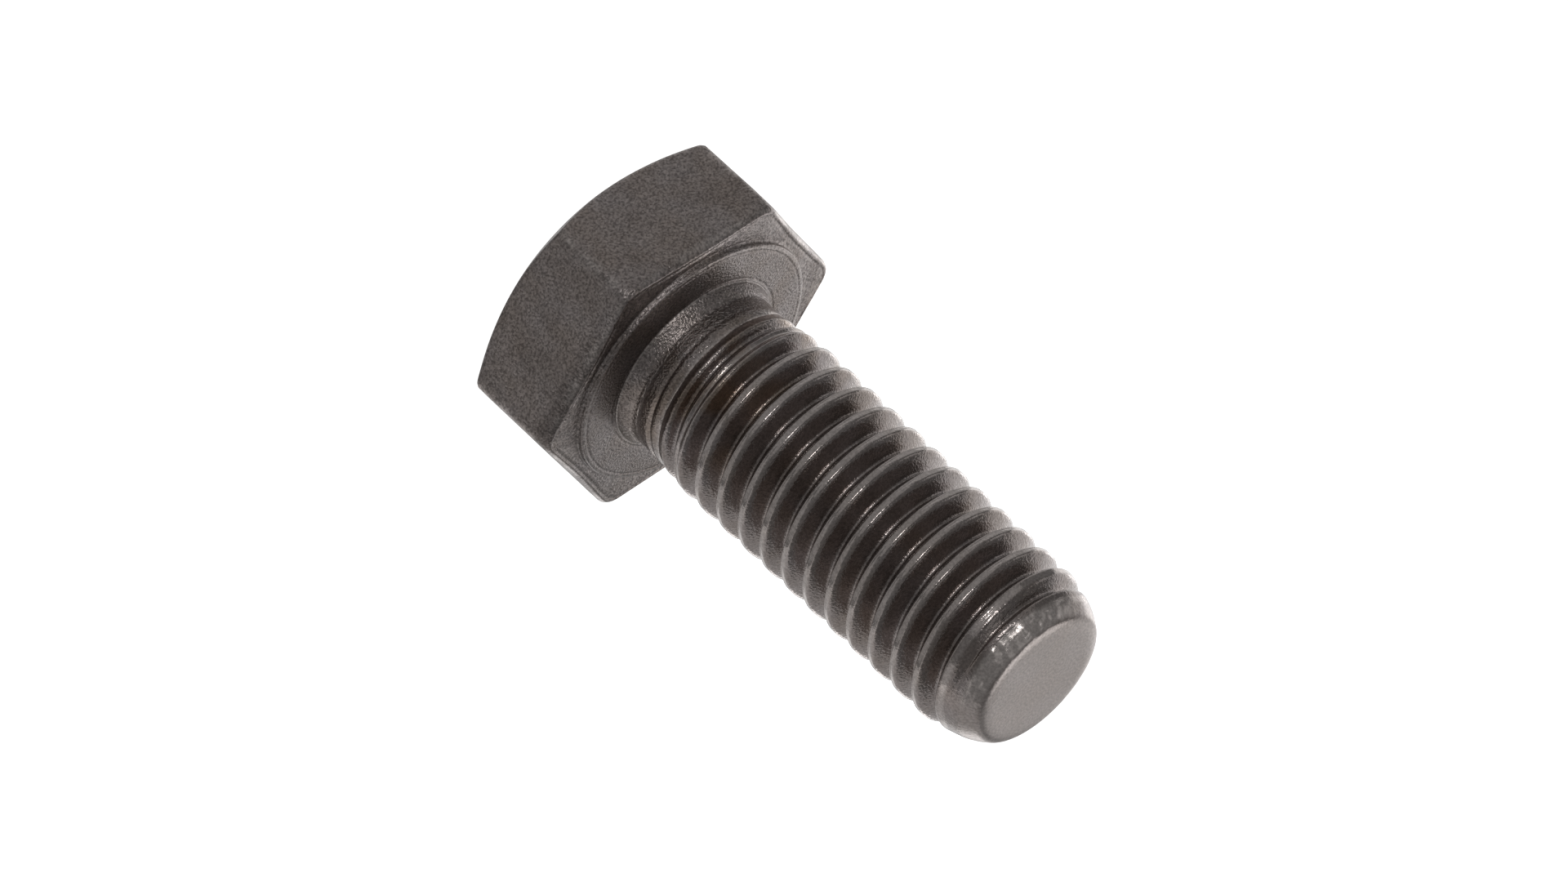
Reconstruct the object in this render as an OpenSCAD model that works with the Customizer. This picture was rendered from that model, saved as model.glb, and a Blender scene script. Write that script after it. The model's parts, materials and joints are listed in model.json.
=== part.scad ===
// Hex bolt, M8 coarse thread, threaded right up to the head.
// The origin is the centre of the bearing face, and +Z runs along the bolt towards its point.
// The whole bolt is one forged and thread-rolled piece of steel, so it is one node.

/* [Head] */
// Width of the hexagon across its flats
across_flats = 12.85; // [12:0.05:14]
// Height of the head, from its top to the bearing face
head_h = 5.2; // [4:0.05:7]
// Diameter of the flat on top of the head, inside the chamfer
head_top_d = 11.8; // [10:0.05:11.9]
// Angle of the chamfer round the top of the head
head_chamfer_deg = 30; // [15:1:40]
// Diameter of the raised washer face under the head
washer_face_d = 11.4; // [9.6:0.05:11.6]
// How far the washer face stands proud of the hexagon
washer_face_h = 0.25; // [0.15:0.01:0.4]

/* [Shank] */
// Length from the bearing face to the end of the point
length = 20; // [12:0.5:60]
// Diameter of the plain neck, which is the blank before rolling
neck_d = 7.3; // [7.1:0.02:7.4]
// How far the plain neck reaches from the bearing face
neck_l = 1.5; // [1.3:0.05:1.8]
// Diameter that the fillet spreads to where it meets the bearing face
fillet_d = 7.92; // [7.5:0.02:8.6]
// How far up the neck the fillet reaches
fillet_h = 0.8; // [0.4:0.05:1.2]

/* [Thread] */
// Diameter over the thread's crests
crest_d = 7.82; // [7.6:0.01:7.96]
// Distance between neighbouring crests
pitch = 1.25; // [1:0.05:1.5]
// Height at which the rolled ridges begin to rise out of the neck
runout_from = 0.9; // [0.8:0.05:1]
// Height at which the thread reaches its full depth
runout_to = 4.2; // [3:0.1:6]
// Direction of the crest at the bearing face's height, counted from +X
crest_turn_deg = 60; // [0:5:355]
// Flat segments in one turn of the thread
turn_segments = 30; // [24:2:36]

/* [Point] */
// Diameter of the flat end
point_flat_d = 5.9; // [5:0.05:6.6]
// Height of the steep chamfer next to the flat end
point_chamfer_h = 0.55; // [0.4:0.05:0.8]
// Diameter where the steep chamfer meets the gentle taper
point_edge_d = 7.1; // [6.8:0.05:7.4]
// Height of the gentle taper that leads the thread into a nut
point_taper_h = 1.2; // [0.8:0.05:1.6]

/* [Hidden] */
$fn = 96;

STEEL = "#3b3837";
HEX_SIDES = 6;
overlap = 0.4;  // depth by which joined shapes run into each other

// Head
corner_r = across_flats / 2 / cos(180 / HEX_SIDES);
head_past_r = corner_r + overlap;
head_chamfer_h = (head_past_r - head_top_d / 2) * tan(head_chamfer_deg);
washer_face_flare = washer_face_h / 2;

// Shank
neck_r = neck_d / 2;
fillet_flare = fillet_d / 2 - neck_r;
fillet_r = (pow(fillet_h, 2) + pow(fillet_flare, 2)) / (2 * fillet_flare);

// Thread: the metric section, a 60 degree V of height v_h with its crest cut flat and its root rounded
v_h = pitch * sqrt(3) / 2;
crest_r = crest_d / 2;
flank_foot_r = crest_r - 5 / 8 * v_h;
root_r = crest_r - 17 / 24 * v_h;
SECTION_R = [root_r, flank_foot_r, crest_r, crest_r, flank_foot_r];
SECTION_Z = pitch * [0, 1 / 8, 7 / 16, 9 / 16, 7 / 8];
blank_r = neck_r - 0.03;
thread_from = 0.1;
thread_columns = ceil((length + 0.1 - thread_from) / pitch * turn_segments);
section_points = len(SECTION_R);
first_column_deg = crest_turn_deg + 180 + 360 * thread_from / pitch;

// Point
past_crest = 0.04;

// Share of the thread's full depth at a height, rising smoothly from 0 to 1 along the run-out
function depth_share(z) =
    let (t = min(1, max(0, (z - runout_from) / (runout_to - runout_from)))) t * t * (3 - 2 * t);

// Corner of the thread's lattice: column k steps round the helix, and j steps along one pitch
function thread_point(k, j) =
    let (
        z = thread_from + pitch * k / turn_segments + SECTION_Z[j],
        r = blank_r + depth_share(z) * (SECTION_R[j] - blank_r),
        a = first_column_deg + 360 * k / turn_segments
    )
    [r * cos(a), r * sin(a), z];

// Place of a corner in the list. The top of a column is the root one turn further on.
function corner(k, j) =
    j == section_points ? corner(k + turn_segments, 0)
    : j == 0 ? k
    : thread_columns + turn_segments + 1 + (j - 1) * (thread_columns + 1) + k;

module head() {
    intersection() {
        translate([0, 0, -head_h])
            rotate([0, 0, 180 / HEX_SIDES])
                cylinder(h = head_h - washer_face_h, r = corner_r, $fn = HEX_SIDES);
        rotate_extrude()
            polygon([
                [0, -head_h],
                [head_top_d / 2, -head_h],
                [head_past_r, -head_h + head_chamfer_h],
                [head_past_r, 0],
                [0, 0]
            ]);
    }
}

module washer_face() {
    translate([0, 0, -washer_face_h])
        cylinder(h = washer_face_h, r1 = washer_face_d / 2 + washer_face_flare, r2 = washer_face_d / 2);
    translate([0, 0, -washer_face_h - overlap])
        cylinder(h = overlap + washer_face_h / 2, r = neck_r);
}

module neck() {
    translate([0, 0, -overlap])
        cylinder(h = neck_l + overlap, r = neck_r);
}

// Hollow-cheeked collar that spreads the neck into the bearing face
module fillet() {
    rotate_extrude()
        difference() {
            translate([0, -overlap])
                square([fillet_d / 2, fillet_h + overlap]);
            translate([neck_r + fillet_r, fillet_h])
                circle(r = fillet_r);
        }
}

// Screw of the full length with one continuous skin, closed at each end by a fan from the axis
module rolled_thread() {
    k_max = thread_columns;
    n = turn_segments;
    m = section_points;
    strand_0 = [for (k = [0 : k_max + n]) thread_point(k, 0)];
    strands = [for (j = [1 : m - 1], k = [0 : k_max]) thread_point(k, j)];
    low_hub = [0, 0, thread_from + pitch / 2];
    high_hub = [0, 0, thread_from + pitch * (k_max / n + 1 / 2)];
    low = len(strand_0) + len(strands);
    skin = [
        for (k = [0 : k_max - 1], j = [0 : m - 1], half = [0, 1])
            half == 0
            ? [corner(k, j), corner(k, j + 1), corner(k + 1, j)]
            : [corner(k + 1, j), corner(k, j + 1), corner(k + 1, j + 1)]
    ];
    low_ring = [for (k = [0 : n]) corner(k, 0), for (j = [m - 1 : -1 : 1]) corner(0, j)];
    high_ring = [for (k = [k_max + n : -1 : k_max]) corner(k, 0), for (j = [1 : m - 1]) corner(k_max, j)];
    low_fan = [for (i = [0 : len(low_ring) - 1]) [low, low_ring[i], low_ring[(i + 1) % len(low_ring)]]];
    high_fan = [for (i = [0 : len(high_ring) - 1]) [low + 1, high_ring[i], high_ring[(i + 1) % len(high_ring)]]];
    polyhedron(points = concat(strand_0, strands, [low_hub, high_hub]), faces = concat(skin, low_fan, high_fan));
}

// Room that the finished shank fills: straight sides, a gentle taper, a steep chamfer and the flat end
module shank_envelope() {
    side_r = crest_r + past_crest;
    rotate_extrude()
        polygon([
            [0, -overlap],
            [side_r, -overlap],
            [side_r, length - point_chamfer_h - point_taper_h],
            [point_edge_d / 2, length - point_chamfer_h],
            [point_flat_d / 2, length],
            [0, length]
        ]);
}

module hex_bolt() {
    color(STEEL)
        union() {
            head();
            washer_face();
            neck();
            fillet();
            intersection() {
                rolled_thread();
                shank_envelope();
            }
        }
}

hex_bolt();
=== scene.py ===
# %% [markdown]
# # A black-oxide hex bolt, M8 x 1.25 x 20
#
# A hex bolt is one piece of steel. A wire blank is upset into a hexagonal head, the shank is rolled
# between grooved dies until a thread stands up on it, and the whole bolt is then dipped to turn its skin
# black. This lesson follows that order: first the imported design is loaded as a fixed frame, then the
# camera and the studio are set, then the head is forged, the thread is rolled and the skin is blackened.

# %% Load the design as a fixed frame
import json
from math import atan2, cos, exp, pi, radians, sin, sqrt, tan, tau
import bpy
from mathutils import Matrix, Vector, noise


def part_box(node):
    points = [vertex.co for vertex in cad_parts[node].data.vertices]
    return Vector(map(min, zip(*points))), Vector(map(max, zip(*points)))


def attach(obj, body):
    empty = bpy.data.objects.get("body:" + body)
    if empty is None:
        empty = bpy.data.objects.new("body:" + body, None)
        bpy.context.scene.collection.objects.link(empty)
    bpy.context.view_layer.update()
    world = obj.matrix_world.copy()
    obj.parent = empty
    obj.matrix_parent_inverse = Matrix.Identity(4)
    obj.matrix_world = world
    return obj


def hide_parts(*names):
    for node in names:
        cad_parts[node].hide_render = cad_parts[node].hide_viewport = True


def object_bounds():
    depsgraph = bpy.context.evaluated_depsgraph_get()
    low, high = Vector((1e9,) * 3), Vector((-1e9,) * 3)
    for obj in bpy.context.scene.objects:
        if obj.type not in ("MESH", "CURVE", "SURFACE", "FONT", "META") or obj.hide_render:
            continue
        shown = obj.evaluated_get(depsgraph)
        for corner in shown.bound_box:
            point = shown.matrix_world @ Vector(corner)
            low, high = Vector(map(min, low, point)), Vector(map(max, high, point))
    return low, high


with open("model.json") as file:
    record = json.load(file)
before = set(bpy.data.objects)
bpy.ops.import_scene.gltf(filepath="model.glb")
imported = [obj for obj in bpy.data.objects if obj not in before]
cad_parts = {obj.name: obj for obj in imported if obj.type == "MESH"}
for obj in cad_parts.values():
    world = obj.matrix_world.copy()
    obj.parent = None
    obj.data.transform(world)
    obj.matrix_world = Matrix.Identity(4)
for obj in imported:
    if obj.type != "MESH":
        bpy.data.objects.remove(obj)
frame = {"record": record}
cad_low, cad_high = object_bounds()
MM = 0.001
print("design box in mm:", [round(v / MM, 2) for v in (*cad_low, *cad_high)])

# %% [markdown]
# ## Sizes
#
# The frame gives the places that matter: the bearing face lies at height zero, the head hangs below it
# and the shank stands above it. The overall sizes are read from the frame's box, so the pictured bolt
# can't drift away from the designed one. The smaller sizes are the ones that a bolt maker would put on
# a drawing, in millimetres.

# %% Sizes of the bolt
low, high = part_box("hex_bolt")
HEAD_H = -low.z / MM
LENGTH = high.z / MM
ACROSS_FLATS = (high.x - low.x) / MM
neck = next(m for m in frame["record"]["mounts"] if m["name"] == "neck")
PITCH = 1.25
CREST_R = 3.91
NECK_R = neck["dims"]["r_mm"]
NECK_TOP = 0.8
print("head", round(HEAD_H, 2), "flats", round(ACROSS_FLATS, 2), "length", round(LENGTH, 2))

# %% [markdown]
# ## Camera
#
# The bolt stands on its head, and the camera looks at it from a little above with a long lens, rolled
# well over so that the shank runs down to the right. A long lens is used because it keeps the hexagon
# and the thread free of perspective stretch, as a catalogue picture of a small part does.

# %% Camera
TARGET = Vector((-0.14, -0.88, 5.59)) * MM
DISTANCE = 432.7 * MM
CAMERA_AZIMUTH = radians(-89.0)
CAMERA_ELEVATION = radians(25.8)
CAMERA_ROLL = radians(-132.8)
LENS_MM = 258.1


def direction(azimuth, elevation):
    """Unit vector from the bolt towards a place in the studio."""
    flat = cos(elevation)
    return Vector((flat * cos(azimuth), flat * sin(azimuth), sin(elevation)))


camera = bpy.data.objects.new("camera", bpy.data.cameras.new("camera"))
bpy.context.scene.collection.objects.link(camera)
bpy.context.scene.camera = camera
camera.data.lens = LENS_MM
camera.data.clip_start = 0.01
camera.data.clip_end = 20
backward = direction(CAMERA_AZIMUTH, CAMERA_ELEVATION)
level_right = (-backward).cross(Vector((0, 0, 1))).normalized()
level_up = level_right.cross(-backward)
up = cos(CAMERA_ROLL) * level_up + sin(CAMERA_ROLL) * level_right
right = (-backward).cross(up)
turned = Matrix((right, up, backward)).transposed().to_4x4()
camera.matrix_world = Matrix.Translation(TARGET + DISTANCE * backward) @ turned
print("camera at", [round(v / MM, 1) for v in camera.location])

# %% [markdown]
# ## Colours and nodes
#
# Two small helpers serve every tree in this file. Colours are picked as ordinary hex values and turned
# into the linear values that a renderer adds up. One function adds a node, sets it and wires its inputs.

# %% Helpers for colours and nodes


def linear(hex_colour):
    """An sRGB hex colour as linear red, green, blue and alpha."""
    parts = [int(hex_colour[i:i + 2], 16) / 255 for i in (1, 3, 5)]
    return [p / 12.92 if p <= 0.04045 else ((p + 0.055) / 1.055) ** 2.4 for p in parts] + [1.0]


def add(tree, kind, inputs=(), **settings):
    """Adds a node. Inputs are in order, or a dict by name; a node or socket is linked, a value is set."""
    made = tree.nodes.new(kind)
    for name, value in settings.items():
        setattr(made, name, value)
    pairs = inputs.items() if isinstance(inputs, dict) else enumerate(inputs)
    for key, value in pairs:
        if isinstance(value, bpy.types.Node):
            value = value.outputs[0]
        if isinstance(value, bpy.types.NodeSocket):
            tree.links.new(value, made.inputs[key])
        elif value is not None:
            made.inputs[key].default_value = value
    return made


print("mid grey is", round(linear("#808080")[0], 3), "in linear light")

# %% [markdown]
# ## Studio
#
# Polished and satin metal shows what stands around it, so the lights matter as much as the finish. The
# bolt is lit by large soft panels and three small bright ones. The floor is plain and pale, and glows so
# that it stays clean under the bolt. It is left out of reflections, where the panels and the dim room
# take its place.

# %% Floor and room
FLOOR_SIZE = 4.0
floor_mesh = bpy.data.meshes.new("floor")
half = FLOOR_SIZE / 2
floor_mesh.from_pydata(
    [(x, y, cad_low.z) for x, y in ((-half, -half), (half, -half), (half, half), (-half, half))],
    [], [(0, 1, 2, 3)])
floor = bpy.data.objects.new("floor", floor_mesh)
bpy.context.scene.collection.objects.link(floor)
floor.visible_glossy = False
floor.visible_shadow = False
paper = bpy.data.materials.new("white_paper")
paper.use_nodes = True
sheet = paper.node_tree.nodes["Principled BSDF"]
sheet.inputs["Base Color"].default_value = linear("#f4f4f4")
sheet.inputs["Roughness"].default_value = 0.9
sheet.inputs["Emission Color"].default_value = linear("#ffffff")
sheet.inputs["Emission Strength"].default_value = 1.0
floor_mesh.materials.append(paper)

room = bpy.data.worlds.new("room")
bpy.context.scene.world = room
room.use_nodes = True
room_tree = room.node_tree
room_tree.nodes.clear()
dim_room = add(room_tree, "ShaderNodeBackground", {"Color": linear("#ffffff"), "Strength": 0.18})
pale_wall = add(room_tree, "ShaderNodeBackground", {"Color": linear("#ffffff"), "Strength": 1.0})
seen = add(room_tree, "ShaderNodeLightPath")
wall = add(room_tree, "ShaderNodeMixShader", [seen.outputs["Is Camera Ray"], dim_room, pale_wall])
add(room_tree, "ShaderNodeOutputWorld", [wall])
bpy.context.scene.view_settings.view_transform = "Standard"
print("floor at", round(cad_low.z / MM, 2), "mm")

# %% Panels of light
PANEL_DISTANCE = 0.5
PANELS = [
    # azimuth, elevation, half angle, brightness
    (120, 2, 30, 0.7),
    (35, -1, 42, 0.39),
    (105, 60, 20, 1.2),
    (92, 27, 10, 0.47),
    (165, 23, 12, 0.34),
    (-17, 3, 20, 0.26),
    (-106, 15, 7, 6.5),
    (-115, -14, 42, 0.15),
    (-117, 58, 12, 0.28),
    (96, -29, 42, 0.36),
    (168, -45, 30, 0.25),
    (-32, -42, 26, 0.165),
    (116, -3, 8, 1.6),
    (64, -2, 8, 1.6),
]
for number, (azimuth, elevation, half_angle, brightness) in enumerate(PANELS):
    panel = bpy.data.lights.new(f"panel_{number}", "AREA")
    panel.shape = "DISK"
    radius = PANEL_DISTANCE * tan(radians(half_angle))
    panel.size = 2 * radius
    panel.energy = brightness * pi * pi * radius * radius
    panel_object = bpy.data.objects.new(panel.name, panel)
    bpy.context.scene.collection.objects.link(panel_object)
    towards = direction(radians(azimuth), radians(elevation))
    panel_object.location = towards * PANEL_DISTANCE
    panel_object.rotation_euler = towards.to_track_quat("Z", "Y").to_euler()
print(len(PANELS), "panels")

# %% [markdown]
# ## The forged head
#
# The head could be a six-sided cylinder with a bevel, but a forged head is softer than that: its
# corners aren't quite filled, its underside edge is rolled over, and a thin washer face stands proud of
# the underside. So the head is laid out as rings of points around the axis, one ring for each step
# along its section, and every ring has the same number of points. The points crowd together at the six
# corners, where the shape turns fastest, and are even at the neck, where the thread is welded on.

# %% Hexagon with rounded corners
COLUMNS = 192
FACES = 6
SECTOR = tau / FACES
FLAT_R = ACROSS_FLATS / 2
SIDE_CORNER_R = 0.45
FOOT_CORNER_R = 1.0
CROWDING = 0.86


def column_angle(column, crowded):
    """Angle of a column; crowded = 1 pulls the columns towards the corners, 0 leaves them even."""
    even = tau * column / COLUMNS
    return even + crowded * CROWDING * sin(FACES * even) / FACES


def angle_off_corner(angle):
    """Angle to the nearest corner of the hexagon, which has corners on +Y and -Y."""
    return abs((angle - pi / 2 + SECTOR / 2) % SECTOR - SECTOR / 2)


def hexagon_radius(angle, rounding):
    """Distance from the axis to the hexagon's side, with corners rounded to the given radius."""
    off_corner = angle_off_corner(angle)
    centre = (FLAT_R - rounding) / cos(SECTOR / 2)
    tangent = atan2(rounding * sin(SECTOR / 2), centre + rounding * cos(SECTOR / 2))
    if off_corner >= tangent:
        return FLAT_R / cos(SECTOR / 2 - off_corner)
    return centre * cos(off_corner) + sqrt(rounding ** 2 - (centre * sin(off_corner)) ** 2)


print("corner to corner:", round(2 * hexagon_radius(pi / 2, SIDE_CORNER_R), 2), "mm")

# %% Section of the head, ring by ring
CHAMFER_R = 5.9
CHAMFER_DEG = 30
RIM_SOFTENED = 0.08
FOOT_HEIGHT = 1.1
WASHER_R = 5.7
WASHER_H = 0.25
WASHER_FOOT = 0.1
# out past the washer face's radius, and down from the bearing face as a share of its height
WASHER_STEPS = ((0.04, 0.98), (0.015, 0.85), (0.0, 0.5), (-0.015, 0.2), (-0.05, 0.05), (-0.11, 0))
UNDER_EDGE_OUT = 0.22
UNDER_EDGE_UP = 0.3
MID_FACE_UP = 0.35
MID_FACE_OUT = 0.04
EDGE_GROOVE = 0.03
EDGE_GROOVE_IN = 0.1
EDGE_GROOVE_WIDTH = 0.06
LIP_GROOVE = 0.022
LIP_GROOVE_WIDTH = 0.05
RIM_GROOVE_IN = 0.13
RING_GROOVE_OUT = 0.14
FILLET_RING_R = 3.96
FILLET_FOOT = 0.02
FILLET_SLOPE = 0.5
FILLET_BLEND = 0.05
UNDERSIDE_CROWDED = 0.4
WASHER_CROWDED = 0.3
TOP_RINGS = 4
CHAMFER_RINGS = 6
SIDE_RINGS = 26
EDGE_RINGS = 8
FACE_RINGS = 16
WASHER_RINGS = 44


def smooth(t):
    """Ease from 0 to 1."""
    t = min(max(t, 0.0), 1.0)
    return t * t * (3 - 2 * t)


def softened_hexagon(angle, z):
    """Hexagon radius at height z: the corners are filled less towards the underside."""
    foot = smooth(1 - (-WASHER_H - z) / FOOT_HEIGHT)
    return hexagon_radius(angle, SIDE_CORNER_R + (FOOT_CORNER_R - SIDE_CORNER_R) * foot)


def under_edge_size(angle):
    """Reach outwards and upwards of the rolled-over underside edge: least at the corners."""
    off_corner = angle_off_corner(angle)
    mid_face = 0.5 - 0.5 * cos(FACES * off_corner)
    return UNDER_EDGE_OUT + MID_FACE_OUT * mid_face, UNDER_EDGE_UP + MID_FACE_UP * mid_face


def head_rings():
    """For each ring, a function from the angle to radius and height, and how far its columns crowd."""
    rings = []
    for i in range(1, TOP_RINGS + 1):
        r = CHAMFER_R * i / TOP_RINGS
        rings.append((lambda a, r=r: (r, -HEAD_H), i / TOP_RINGS))
    slope = tan(radians(CHAMFER_DEG))
    for i in range(1, CHAMFER_RINGS + 1):
        def chamfer(a, t=i / CHAMFER_RINGS):
            rim = hexagon_radius(a, SIDE_CORNER_R) - RIM_SOFTENED
            r = CHAMFER_R + (rim - CHAMFER_R) * t
            return r, -HEAD_H + (r - CHAMFER_R) * slope
        rings.append((chamfer, 1))
    for i in range(1, SIDE_RINGS + 1):
        def side(a, t=i / SIDE_RINGS):
            rim = hexagon_radius(a, SIDE_CORNER_R) - RIM_SOFTENED
            start = -HEAD_H + (rim - CHAMFER_R) * slope
            z = start + (-WASHER_H - under_edge_size(a)[1] - start) * t
            return softened_hexagon(a, z), z
        rings.append((side, 1))
    for i in range(1, EDGE_RINGS + 1):
        def under_edge(a, turn=pi / 2 * i / EDGE_RINGS):
            reach, rise = under_edge_size(a)
            z = -WASHER_H - rise * (1 - sin(turn))
            return softened_hexagon(a, z) - reach * (1 - cos(turn)), z
        rings.append((under_edge, 1))
    for i in range(1, FACE_RINGS + 1):
        def underside(a, t=i / FACE_RINGS):
            rim = softened_hexagon(a, -WASHER_H) - under_edge_size(a)[0]
            r = rim + (WASHER_R + WASHER_FOOT - rim) * t
            off_groove = (rim - r - EDGE_GROOVE_IN) / EDGE_GROOVE_WIDTH
            return r, -WASHER_H - EDGE_GROOVE * exp(-off_groove ** 2)
        rings.append((underside, 1 - (1 - UNDERSIDE_CROWDED) * i / FACE_RINGS))
    for out, down in WASHER_STEPS:
        rings.append((lambda a, o=out, d=down: (WASHER_R + o, -WASHER_H * d), WASHER_CROWDED))
    washer_in = WASHER_R + WASHER_STEPS[-1][0]
    for i in range(1, WASHER_RINGS + 1):
        r = washer_in + (FILLET_RING_R + FILLET_FOOT - washer_in) * i / WASHER_RINGS
        rim_groove = exp(-((r - washer_in + RIM_GROOVE_IN) / LIP_GROOVE_WIDTH) ** 2)
        ring_groove = exp(-((r - FILLET_RING_R - RING_GROOVE_OUT) / LIP_GROOVE_WIDTH) ** 2)
        z = -LIP_GROOVE * (rim_groove + ring_groove)
        rings.append((lambda a, r=r, z=z: (r, z), WASHER_CROWDED * (1 - i / WASHER_RINGS)))
    for i in range(0, FACE_RINGS + 1):
        z = NECK_TOP * i / FACE_RINGS
        cone = FILLET_RING_R - z * FILLET_SLOPE
        blend = max(FILLET_BLEND - abs(cone - NECK_R), 0) / FILLET_BLEND
        # the rounding dies away in the last quarter, so that the weld ring has the neck's radius
        rounding_left = 1 - smooth(z / NECK_TOP * 4 - 3)
        r = max(cone, NECK_R) + blend ** 2 * FILLET_BLEND / 4 * rounding_left
        rings.append((lambda a, r=r, z=z: (r, z), 0))
    return rings


print("head section:", len(head_rings()), "rings")

# %% Faults of forging and handling
FORGE_WAVE = 0.02
SLOW_WAVES = 0.35
FAST_WAVES = 0.9
NICK_DEG = -157
NICK_SPAN_DEG = 1.6
NICK_WIDTH = 0.12
NICK_Z = 0.05
NICK_HEIGHT = 0.15
NICK_DEPTH = 0.05


def forged(point):
    """How far scale and die wear push a point outwards: a few hundredths of a millimetre at most."""
    wave = noise.noise(point * SLOW_WAVES) + 0.5 * noise.noise(point * FAST_WAVES)
    return FORGE_WAVE * wave


def nick(angle, r, z):
    """How far a small knock pushes out the ring where the fillet meets the washer face."""
    around = ((angle - radians(NICK_DEG) + pi) % tau - pi) / radians(NICK_SPAN_DEG)
    outwards = (r - FILLET_RING_R) / NICK_WIDTH
    upwards = (z - NICK_Z) / NICK_HEIGHT
    return NICK_DEPTH * exp(-(around ** 2 + outwards ** 2 + upwards ** 2))


print("nick on the fillet ring:", NICK_DEPTH, "mm out, at", NICK_DEG, "degrees")

# %% Rubbed places on the head
CORNER_RUB = 0.7
CORNER_RUB_DEG = 2.5
EDGE_RUB_UP = 0.3
EDGE_RUB_WIDTH = 0.5
LIP_RUB_IN = 0.1
LIP_RUB_TOP = 0.1
LIP_RUB_WIDTH = 0.05
LIP_RUB_LEAST = 0.5
PATCH_WAVES = 1.3
PATCH_CONTRAST = 2.0


def edge_wear(point):
    """How far the skin is rubbed off, from 0 to 1: on the corners, the underside edge and two lips."""
    angle = atan2(point.y, point.x)
    on_hexagon = point.z < -WASHER_H
    corner = smooth(1 - angle_off_corner(angle) / radians(CORNER_RUB_DEG)) if on_hexagon else 0.0
    rise = under_edge_size(angle)[1]
    edge = smooth(1 - abs(point.z + WASHER_H + rise * EDGE_RUB_UP) / (rise * EDGE_RUB_WIDTH))
    r = sqrt(point.x ** 2 + point.y ** 2)
    lips = sum(exp(-((r - lip) / LIP_RUB_WIDTH) ** 2) for lip in (WASHER_R - LIP_RUB_IN, FILLET_RING_R))
    lip = min(lips, 1.0) if -WASHER_H / 2 < point.z < LIP_RUB_TOP else 0.0
    patchy = smooth(0.5 + PATCH_CONTRAST * noise.noise(point * PATCH_WAVES))
    lip_rub = lip * (LIP_RUB_LEAST + (1 - LIP_RUB_LEAST) * patchy)
    return max(patchy * max(corner * CORNER_RUB, edge), lip_rub)


corner_middle = Vector((0, hexagon_radius(pi / 2, SIDE_CORNER_R), -HEAD_H / 2))
print("wear half way up a corner:", round(edge_wear(corner_middle), 2))

# %% Forge the head
SLACK = 0.01


def build_head():
    """The head and neck as one open shell whose last ring is the neck's upper edge."""
    points = [Vector((0, 0, -HEAD_H))]
    faces = []
    rings = head_rings()
    for number, (section, crowded) in enumerate(rings):
        for column in range(COLUMNS):
            angle = column_angle(column, crowded)
            r, z = section(angle)
            point = Vector((r * cos(angle), r * sin(angle), z))
            if -HEAD_H < z < -WASHER_H - SLACK:
                r += forged(point)
            r += nick(angle, r, z)
            points.append(Vector((r * cos(angle), r * sin(angle), z)))
        start = 1 + number * COLUMNS
        for column in range(COLUMNS):
            following = (column + 1) % COLUMNS
            if number == 0:
                faces.append((0, start + following, start + column))
            else:
                inner = start - COLUMNS
                faces.append((inner + column, inner + following, start + following, start + column))
    mesh = bpy.data.meshes.new("head_blank")
    mesh.from_pydata([p * MM for p in points], [], faces)
    rubbed = mesh.attributes.new("wear", "FLOAT", "POINT")
    for point, worn in zip(points, rubbed.data):
        worn.value = edge_wear(point)
    mesh.update()
    return mesh


bolt_blank = bpy.data.objects.new("bolt_blank", build_head())
bpy.context.scene.collection.objects.link(bolt_blank)
print("head blank:", len(bolt_blank.data.vertices), "points")

# %% [markdown]
# ## The rolled thread
#
# A thread follows a rule: the same section is carried round the shank and climbs by one pitch a turn. It
# could be swept along a helix, but a sweep leaves a seam at each end. Here Geometry Nodes bend a flat
# grid round the shank instead. Each row of the grid is sheared so that it climbs one pitch a turn, which
# makes every row follow the helix, and its distance from the crest gives its radius. Rows that would
# pass the neck are pressed onto the neck's edge, rows that would pass the point shrink to the middle of
# the flat end, and merging the pressed points leaves one closed skin.

# %% Sizes of the thread
ROWS_PER_TURN = 22
FIRST_TURN = -1
TURNS = 21
ROW_CROWDING = 0.5
CREST_TURN_DEG = 60
THREAD_SIZES = {
    "Pitch": PITCH * MM,
    "Crest radius": CREST_R * MM,
    "Neck radius": NECK_R * MM,
    "Neck top": NECK_TOP * MM,
    "Depth": 0.7 * MM,
    "Crest half width": 0.115,
    "Crest rounding": 0.11 * MM,
    "Root rounding": 0.16 * MM,
    "Seam offset": 0.045,
    "Seam width": 0.03,
    "Seam depth": 0.016 * MM,
    "Open seam width": 0.24,
    "Open seam depth": 0.35 * MM,
    "Run-out from": 0.9 * MM,
    "Run-out to": 4.2 * MM,
    "Length": LENGTH * MM,
    "Taper height": 2.3 * MM,
    "Point edge radius": 3.5 * MM,
    "Chamfer height": 0.8 * MM,
    "Flat radius": 3.0 * MM,
    "Point rounding": 0.18 * MM,
    "Rim rounding": 0.4 * MM,
    "Point offset": 0.03 * MM,
    "Point fade from": (LENGTH - 1.6) * MM,
    "Point fade to": (LENGTH - 0.7) * MM,
    "Point thread left": 0.25,
    "Roughness of the roll": 0.012 * MM,
    "Lumps at the point": 0.32 * MM,
}
thread = bpy.data.node_groups.new("rolled_thread", "GeometryNodeTree")
thread.interface.new_socket("Blank", in_out="INPUT", socket_type="NodeSocketGeometry")
thread.interface.new_socket("Bolt", in_out="OUTPUT", socket_type="NodeSocketGeometry")
for name in THREAD_SIZES:
    thread.interface.new_socket(name, in_out="INPUT", socket_type="NodeSocketFloat")
thread.interface.new_socket("Finish", in_out="INPUT", socket_type="NodeSocketMaterial")
sizes = add(thread, "NodeGroupInput")
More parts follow.
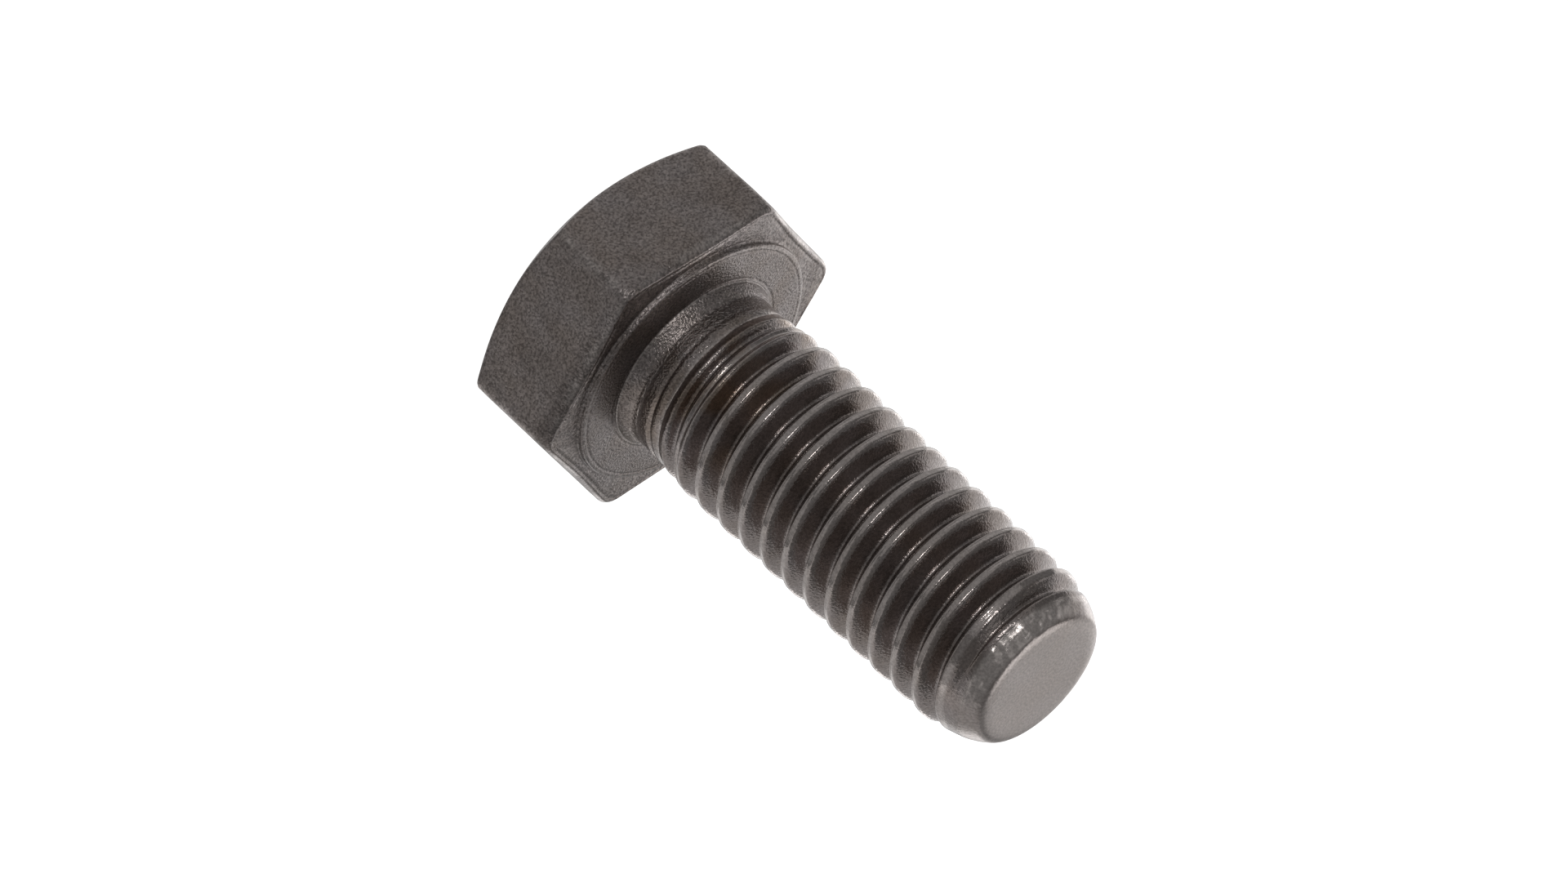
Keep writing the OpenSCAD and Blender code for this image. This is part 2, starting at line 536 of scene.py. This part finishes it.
size = {s.name: s for s in sizes.outputs if s.name}
print(len(THREAD_SIZES), "thread sizes")

# %% Lay out the grid: a row and a column for each point
MATH = "ShaderNodeMath"
MAP = "ShaderNodeMapRange"
LINE = COLUMNS + 1
grid = add(thread, "GeometryNodeMeshGrid",
           {"Size X": 1.0, "Size Y": 1.0, "Vertices X": ROWS_PER_TURN * TURNS + 1, "Vertices Y": LINE})
index = add(thread, "GeometryNodeInputIndex")
shifted = add(thread, MATH, [index, 0.5], operation="ADD")
line_number = add(thread, MATH, [shifted, float(LINE)], operation="DIVIDE")
row = add(thread, MATH, [line_number], operation="FLOOR")
column = add(thread, MATH, [row, -float(LINE), index], operation="MULTIPLY_ADD")
turn_share = add(thread, MATH, [column, float(COLUMNS)], operation="DIVIDE")
angle = add(thread, MATH, [turn_share, tau], operation="MULTIPLY")
print("grid:", ROWS_PER_TURN * TURNS + 1, "rows of", LINE, "points")

# %% Shear the rows into a helix and crowd them at the crest and the root
row_turns = add(thread, MATH, [row, float(ROWS_PER_TURN)], operation="DIVIDE")
wobble_angle = add(thread, MATH, [row_turns, 2 * tau], operation="MULTIPLY")
wobble = add(thread, MATH, [wobble_angle], operation="SINE")
helix_turns = add(thread, MATH, [wobble, -ROW_CROWDING / (2 * tau), row_turns], operation="MULTIPLY_ADD")
nearest_crest = add(thread, MATH, [helix_turns], operation="ROUND")
past_crest = add(thread, MATH, [helix_turns, nearest_crest], operation="SUBTRACT")
off_crest = add(thread, MATH, [past_crest], operation="ABSOLUTE")
turns_up = add(thread, MATH, [helix_turns, turn_share], operation="ADD")
climb = add(thread, MATH, [turns_up, FIRST_TURN - CREST_TURN_DEG / 360], operation="ADD")
along = add(thread, MATH, [climb, size["Pitch"]], operation="MULTIPLY")
print("with the sheared rows:", len(thread.nodes), "nodes")

# %% Run-out: near the neck the dies lift, so the groove is shallow and narrow and the crest is wide
share = add(thread, MAP, {"Value": along, "From Min": size["Run-out from"], "From Max": size["Run-out to"]},
            interpolation_type="SMOOTHSTEP")
spare_share = add(thread, MATH, [1.0, share], operation="SUBTRACT")
lift = add(thread, MATH, [spare_share, size["Depth"]], operation="MULTIPLY")
depth_left = add(thread, MATH, [size["Depth"], lift], operation="SUBTRACT")
crest_rise = add(thread, MATH, [size["Crest radius"], size["Neck radius"]], operation="SUBTRACT")
crest_here = add(thread, MATH, [crest_rise, share, size["Neck radius"]], operation="MULTIPLY_ADD")
print("with the run-out:", len(thread.nodes), "nodes")

# %% Section: rounded crest, 60-degree flanks, rounded root
beyond_crest = add(thread, MATH, [off_crest, size["Crest half width"]], operation="SUBTRACT")
beyond = add(thread, MATH, [beyond_crest, size["Pitch"]], operation="MULTIPLY")
flank = add(thread, MATH, [beyond, sqrt(3)], operation="MULTIPLY")
lifted = add(thread, MATH, [flank, lift], operation="SUBTRACT")
from_crest = add(thread, MATH, [lifted, 0.0, size["Crest rounding"]], operation="SMOOTH_MAX")
groove = add(thread, MATH, [from_crest, depth_left, size["Root rounding"]], operation="SMOOTH_MIN")
print("with the section:", len(thread.nodes), "nodes")

# %% Seam: two lips of metal meet on the crest, and stay apart where the thread is shallow
seam_width = add(thread, MAP, {"Value": share, "To Min": size["Open seam width"],
                               "To Max": size["Seam width"]})
seam_depth = add(thread, MAP, {"Value": share, "To Min": size["Open seam depth"],
                               "To Max": size["Seam depth"]})
off_seam = add(thread, MATH, [past_crest, size["Seam offset"]], operation="ADD")
seam_steps = add(thread, MATH, [off_seam, seam_width], operation="DIVIDE")
seam_square = add(thread, MATH, [seam_steps, seam_steps], operation="MULTIPLY")
seam_fall = add(thread, MATH, [seam_square, -1.0], operation="MULTIPLY")
seam_shape = add(thread, MATH, [seam_fall], operation="EXPONENT")
seam_here = add(thread, MATH, [seam_depth, share], operation="MULTIPLY")
with_seam = add(thread, MATH, [seam_shape, seam_here, groove], operation="MULTIPLY_ADD")
print("with the seam:", len(thread.nodes), "nodes")

# %% Fade the thread in above the neck, and out where it leaves the point
FADE_IN_SHARE = 0.12
fade_in = add(thread, MAP, {"Value": share, "From Max": FADE_IN_SHARE})
near_point = add(thread, MAP, {"Value": along, "From Min": size["Point fade from"],
                               "From Max": size["Point fade to"], "To Min": 1.0,
                               "To Max": size["Point thread left"]}, interpolation_type="SMOOTHSTEP")
faded = add(thread, MATH, [fade_in, near_point], operation="MULTIPLY")
depth_here = add(thread, MATH, [with_seam, faded], operation="MULTIPLY")
threaded = add(thread, MATH, [crest_here, depth_here], operation="SUBTRACT")
print("with the fades:", len(thread.nodes), "nodes")

# %% Point: a slow taper, a chamfer and a flat end, each rounded into the next
# rows past the end shrink by this many millimetres for each millimetre that they would climb
END_STRIDE = 2.0
from_end = add(thread, MATH, [size["Length"], along], operation="SUBTRACT")
above_edge = add(thread, MATH, [from_end, size["Chamfer height"]], operation="SUBTRACT")
taper_rise = add(thread, MATH, [size["Crest radius"], size["Point edge radius"]], operation="SUBTRACT")
taper_run = add(thread, MATH, [size["Taper height"], size["Chamfer height"]], operation="SUBTRACT")
taper_slope = add(thread, MATH, [taper_rise, taper_run], operation="DIVIDE")
taper = add(thread, MATH, [above_edge, taper_slope, size["Point edge radius"]], operation="MULTIPLY_ADD")
chamfer_rise = add(thread, MATH, [size["Point edge radius"], size["Flat radius"]], operation="SUBTRACT")
chamfer_slope = add(thread, MATH, [chamfer_rise, size["Chamfer height"]], operation="DIVIDE")
chamfer = add(thread, MATH, [from_end, chamfer_slope, size["Flat radius"]], operation="MULTIPLY_ADD")
cone = add(thread, MATH, [taper, chamfer, size["Point rounding"]], operation="SMOOTH_MIN")
cosine = add(thread, MATH, [angle], operation="COSINE")
sine = add(thread, MATH, [angle], operation="SINE")
off_centre = add(thread, MATH, [cosine, size["Point offset"]], operation="MULTIPLY")
cone_here = add(thread, MATH, [cone, off_centre], operation="SUBTRACT")
flat = add(thread, MATH, [from_end, END_STRIDE, size["Flat radius"]], operation="MULTIPLY_ADD")
closing = add(thread, MATH, [cone_here, flat, size["Rim rounding"]], operation="SMOOTH_MIN")
rounded = add(thread, MATH, [threaded, closing, size["Point rounding"]], operation="SMOOTH_MIN")
print("with the point:", len(thread.nodes), "nodes")

# %% Small faults: a wavy roll everywhere, and lumps where the last turn runs off the point
WAVE_SIZE = 0.9 * MM
LUMP_SIZE = 0.38 * MM
LUMP_TURN_DEG = -98
LUMP_FROM_END = 0.47 * MM
LUMP_REACH = 0.5 * MM
LUMP_CORE = 0.15 * MM
LUMP_LEVEL = 0.45
LUMP_ALL_ROUND = 0.12
ring_x = add(thread, MATH, [cosine, size["Crest radius"]], operation="MULTIPLY")
ring_y = add(thread, MATH, [sine, size["Crest radius"]], operation="MULTIPLY")
place = add(thread, "ShaderNodeCombineXYZ", [ring_x, ring_y, along])
wave = add(thread, "ShaderNodeTexNoise", {"Vector": place, "Scale": 1 / WAVE_SIZE, "Detail": 2.0})
lump = add(thread, "ShaderNodeTexNoise", {"Vector": place, "Scale": 1 / LUMP_SIZE, "Detail": 2.0})
above_neck = add(thread, MAP, {"Value": along, "From Min": size["Run-out from"],
                               "From Max": size["Run-out to"]})
wave_swing = add(thread, MATH, [wave, 0.5], operation="SUBTRACT")
wave_here = add(thread, MATH, [wave_swing, above_neck], operation="MULTIPLY")
wavy = add(thread, MATH, [wave_here, size["Roughness of the roll"], rounded], operation="MULTIPLY_ADD")
past_lumps = add(thread, MATH, [from_end, LUMP_FROM_END], operation="SUBTRACT")
off_lumps = add(thread, MATH, [past_lumps], operation="ABSOLUTE")
lump_band = add(thread, MAP, {"Value": off_lumps, "From Min": LUMP_REACH, "From Max": LUMP_CORE},
                interpolation_type="SMOOTHSTEP")
off_lump_side = add(thread, MATH, [angle, radians(LUMP_TURN_DEG)], operation="SUBTRACT")
facing = add(thread, MATH, [off_lump_side], operation="COSINE")
lump_side = add(thread, MAP, {"Value": facing, "From Min": 0.5, "From Max": 0.95,
                              "To Min": LUMP_ALL_ROUND})
lump_share = add(thread, MATH, [lump_band, lump_side], operation="MULTIPLY")
lump_swing = add(thread, MATH, [lump, LUMP_LEVEL], operation="SUBTRACT")
lump_here = add(thread, MATH, [lump_swing, lump_share], operation="MULTIPLY")
lumpy = add(thread, MATH, [lump_here, size["Lumps at the point"], wavy], operation="MULTIPLY_ADD")
print("with the small faults:", len(thread.nodes), "nodes")

# %% Bend the grid round the shank, and press the spare rows onto the neck and the end
# rows of the flat end with a smaller radius than this are pressed onto the axis
MIDDLE = 0.1 * MM
radius = add(thread, MATH, [lumpy, 0.0], operation="MAXIMUM")
past_neck = add(thread, MATH, [along, size["Neck top"]], operation="GREATER_THAN")
beyond_neck = add(thread, MATH, [radius, size["Neck radius"]], operation="SUBTRACT")
from_neck = add(thread, MATH, [beyond_neck, past_neck, size["Neck radius"]], operation="MULTIPLY_ADD")
before_middle = add(thread, MATH, [flat, MIDDLE], operation="GREATER_THAN")
closed = add(thread, MATH, [from_neck, before_middle], operation="MULTIPLY")
below_end = add(thread, MATH, [along, size["Length"], size["Rim rounding"]], operation="SMOOTH_MIN")
height = add(thread, MATH, [below_end, size["Neck top"]], operation="MAXIMUM")
bent_x = add(thread, MATH, [cosine, closed], operation="MULTIPLY")
bent_y = add(thread, MATH, [sine, closed], operation="MULTIPLY")
bent = add(thread, "ShaderNodeCombineXYZ", [bent_x, bent_y, height])
rolled = add(thread, "GeometryNodeSetPosition", {"Geometry": grid, "Position": bent})
print("with the bent grid:", len(thread.nodes), "nodes")

# %% Mark the rubbed places and the painted highlight on the lumps at the point, weld the thread to the blank and close the tree
MERGE = 0.002 * MM
CREST_RUB_FROM = 0.16
CREST_RUB_FULL = 0.05
CUT_FACE_REACH = 0.15 * MM
CUT_FACE_RUB = 0.9
# how far the lumps at the point are made paler: a painted highlight
LUMP_HIGHLIGHT = 3.0
off_end = add(thread, MAP, {"Value": from_end, "From Min": 0.3 * MM, "From Max": 0.7 * MM})
crest_rub = add(thread, MAP, {"Value": off_crest, "From Min": CREST_RUB_FROM, "From Max": CREST_RUB_FULL})
crest_wear = add(thread, MATH, [crest_rub, off_end], operation="MULTIPLY")
cut_face = add(thread, MAP, {"Value": from_end, "From Min": CUT_FACE_REACH, "From Max": 0.0,
                             "To Max": CUT_FACE_RUB})
# the lumps at the point get a painted highlight through the wear attribute, which also smooths their grain
lump_painted_highlight = add(thread, MATH, [lump_share, LUMP_HIGHLIGHT], operation="MULTIPLY")
crest_rub_or_lump_highlight = add(thread, MATH, [crest_wear, lump_painted_highlight], operation="MAXIMUM")
# the wear attribute holds the rubbed crests, the cut face and the lumps' painted highlight
wear = add(thread, MATH, [crest_rub_or_lump_highlight, cut_face], operation="MAXIMUM")
worn = add(thread, "GeometryNodeStoreNamedAttribute", {"Geometry": rolled, "Name": "wear", "Value": wear},
           data_type="FLOAT", domain="POINT")
outward = add(thread, "GeometryNodeFlipFaces", [worn])
pressed = add(thread, "GeometryNodeMergeByDistance", {"Geometry": outward, "Distance": MERGE})
joined = add(thread, "GeometryNodeJoinGeometry", [size["Blank"]])
thread.links.new(pressed.outputs[0], joined.inputs[0])
welded = add(thread, "GeometryNodeMergeByDistance", {"Geometry": joined, "Distance": MERGE})
satin = add(thread, "GeometryNodeSetShadeSmooth", {"Geometry": welded})
real = add(thread, "GeometryNodeRealizeInstances", [satin])
finished = add(thread, "GeometryNodeSetMaterial", {"Geometry": real, "Material": size["Finish"]})
add(thread, "NodeGroupOutput", [finished])
print("thread tree:", len(thread.nodes), "nodes")

# %% [markdown]
# ## Black oxide on steel
#
# Black oxide is a skin of iron oxide about a micron thick, grown in a hot salt bath and then oiled. It
# isn't paint: the metal's own grain and tool marks show through it. To the eye it is a dark, warm grey
# satin metal, blotchy where the oil lies thicker, brown in places, and lighter where edges have rubbed.

# %% Black-oxide finish
GRAIN = 0.1 * MM
BLOTCH = 1.6 * MM
STAIN = 2.4 * MM
SHANK_FROM = 0.3 * MM
SHANK_TO = 3.0 * MM
NECK_TO = 1.2 * MM
BROWN_HEIGHT = 3.2 * MM
BROWN_REACH = 3.0 * MM
BROWN_CORE = 0.8 * MM
# the painted shade under the head: its height and reach, and where it starts and ends along X
UNDERSIDE_HEIGHT = -0.3 * MM
UNDERSIDE_REACH = 0.8 * MM
UNDERSIDE_CORE = 0.5 * MM
PAINTED_SHADE_FROM_X = -2.0 * MM
PAINTED_SHADE_TO_X = 6.0 * MM
RELIEF_DEPTH = 0.045 * MM
CUT_FROM = (LENGTH - 1.15) * MM
CUT_TO = (LENGTH - 0.6) * MM
PALER_FOR_WEAR_AND_HIGHLIGHT = 0.5


def black_oxide():
    """Satin dark metal with grain, blotches, brown stains and rubbed edges, a painted highlight on the
    lumps at the point and a painted shade under the head.
    """
    finish = bpy.data.materials.new("black_oxide_steel")
    finish.use_nodes = True
    tree = finish.node_tree
    tree.nodes.clear()
    where = add(tree, "ShaderNodeTexCoord").outputs["Object"]
    parts = add(tree, "ShaderNodeSeparateXYZ", [where])
    height = parts.outputs["Z"]
    blotch = add(tree, "ShaderNodeTexNoise", {"Vector": where, "Scale": 1 / BLOTCH, "Detail": 3.0})
    grain = add(tree, "ShaderNodeTexNoise", {"Vector": where, "Scale": 1 / GRAIN, "Detail": 2.0})
    stain = add(tree, "ShaderNodeTexNoise", {"Vector": where, "Scale": 1 / STAIN, "Detail": 1.0})

    # the skin's colour: grey with blotches, brown near the first turns, paler where it is rubbed, and paler
    # on the lumps at the point as a painted highlight
    skin = add(tree, "ShaderNodeValToRGB", [blotch])
    skin.color_ramp.elements[0].position = 0.35
    skin.color_ramp.elements[0].color = linear("#8b827e")
    skin.color_ramp.elements[1].position = 0.65
    skin.color_ramp.elements[1].color = linear("#98908e")
    from_brown = add(tree, MATH, [height, BROWN_HEIGHT], operation="SUBTRACT")
    off_brown = add(tree, MATH, [from_brown], operation="ABSOLUTE")
    brown_band = add(tree, MAP, {"Value": off_brown, "From Min": BROWN_REACH, "From Max": BROWN_CORE,
                                 "To Min": 0.1, "To Max": 0.4})
    brown_patch = add(tree, MAP, {"Value": stain, "From Min": 0.48, "From Max": 0.62})
    brown = add(tree, MATH, [brown_band, brown_patch], operation="MULTIPLY")
    stained = add(tree, "ShaderNodeMix", {0: brown, 6: skin, 7: linear("#8d765c")}, data_type="RGBA")
    # the wear attribute holds rubbed corners, edges, lips and crests, and the painted highlight on the
    # lumps at the point
    wear_and_highlight = add(tree, "ShaderNodeAttribute", attribute_name="wear")
    rub_and_highlight = add(tree, MATH, [wear_and_highlight.outputs["Fac"], PALER_FOR_WEAR_AND_HIGHLIGHT], operation="MULTIPLY")
    rubbed = add(tree, "ShaderNodeMix", {0: rub_and_highlight, 6: stained.outputs[2], 7: linear("#c8c0bc")},
                 data_type="RGBA")

    # painted shade: the underside of the head, its rolled edge and the foot of the fillet get darker
    # towards +X, where the light falls off
    painted_side_shade = add(tree, MAP, {"Value": parts.outputs["X"], "From Min": PAINTED_SHADE_FROM_X,
                                 "From Max": PAINTED_SHADE_TO_X, "To Min": 1.0, "To Max": 0.68})
    from_underside = add(tree, MATH, [height, UNDERSIDE_HEIGHT], operation="SUBTRACT")
    off_underside = add(tree, MATH, [from_underside], operation="ABSOLUTE")
    painted_shade_mask = add(tree, MAP, {"Value": off_underside, "From Min": UNDERSIDE_REACH,
                                   "From Max": UNDERSIDE_CORE})
    with_painted_shade = add(tree, "ShaderNodeMix", {0: painted_shade_mask, 6: rubbed.outputs[2], 7: painted_side_shade},
                 data_type="RGBA", blend_type="MULTIPLY")

    # the grain: strong on the forged head, weaker on the rolled shank
    tooth = add(tree, MAP, {"Value": height, "From Min": SHANK_FROM, "From Max": SHANK_TO,
                            "To Min": 1.0, "To Max": 0.45})
    fleck = add(tree, MAP, {"Value": grain, "From Min": 0.35, "From Max": 0.65,
                            "To Min": 0.62, "To Max": 1.38})
    flecked = add(tree, "ShaderNodeMix", {0: tooth, 6: linear("#ffffff"), 7: fleck}, data_type="RGBA")
    colour = add(tree, "ShaderNodeMix", {0: 1.0, 6: with_painted_shade.outputs[2], 7: flecked.outputs[2]},
                 data_type="RGBA", blend_type="MULTIPLY")
    smoothed = add(tree, MAP, {"Value": wear_and_highlight.outputs["Fac"], "To Min": 1.0, "To Max": 0.25})
    tooth_left = add(tree, MATH, [tooth, smoothed], operation="MULTIPLY")
    rough_grain = add(tree, MATH, [grain, tooth_left], operation="MULTIPLY")
    relief = add(tree, "ShaderNodeBump",
                 {"Strength": 0.9, "Distance": RELIEF_DEPTH, "Height": rough_grain})

    # the gloss: rolling burnishes the shank, and the cut end stays dull
    burnished = add(tree, MAP, {"Value": height, "From Min": SHANK_FROM, "From Max": NECK_TO,
                                "To Min": 0.3, "To Max": 0.13})
    cut_end = add(tree, MAP, {"Value": height, "From Min": CUT_FROM, "From Max": CUT_TO, "To Max": 0.18})
    gloss = add(tree, MATH, [burnished, cut_end], operation="ADD")
    surface = add(tree, "ShaderNodeBsdfPrincipled",
                  {"Base Color": colour.outputs[2], "Metallic": 1.0, "Roughness": gloss, "Normal": relief})
    add(tree, "ShaderNodeOutputMaterial", [surface])
    return finish


finish = black_oxide()
print("finish:", len(finish.node_tree.nodes), "nodes")

# %% Roll the thread on the blank
roll = bolt_blank.modifiers.new("rolled_thread", "NODES")
roll.node_group = thread
socket_of = {s.name: s.identifier for s in thread.interface.items_tree if s.in_out == "INPUT"}
for name, value in THREAD_SIZES.items():
    roll[socket_of[name]] = value
roll[socket_of["Finish"]] = finish
seen_by_nodes = bolt_blank.evaluated_get(bpy.context.evaluated_depsgraph_get())
bolt_mesh = bpy.data.meshes.new_from_object(seen_by_nodes)
bpy.data.objects.remove(bolt_blank)
bolt = bpy.data.objects.new("forged_hex_bolt", bolt_mesh)
bpy.context.scene.collection.objects.link(bolt)
bolt_mesh.name = "forged_hex_bolt"
bolt_mesh.calc_loop_triangles()
volume = sum(
    bolt_mesh.vertices[t.vertices[0]].co.dot(
        bolt_mesh.vertices[t.vertices[1]].co.cross(bolt_mesh.vertices[t.vertices[2]].co)) / 6
    for t in bolt_mesh.loop_triangles)
open_edges = len(bolt_mesh.edges) * 2 - sum(len(p.vertices) for p in bolt_mesh.polygons)
print("bolt:", len(bolt_mesh.loop_triangles), "triangles,", round(volume / MM ** 3, 1), "cubic mm,",
      open_edges, "open edges")

# %% Give the bolt its place in the frame
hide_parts("hex_bolt")
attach(bolt, "root")
print(bolt.name, "takes the place of hex_bolt")
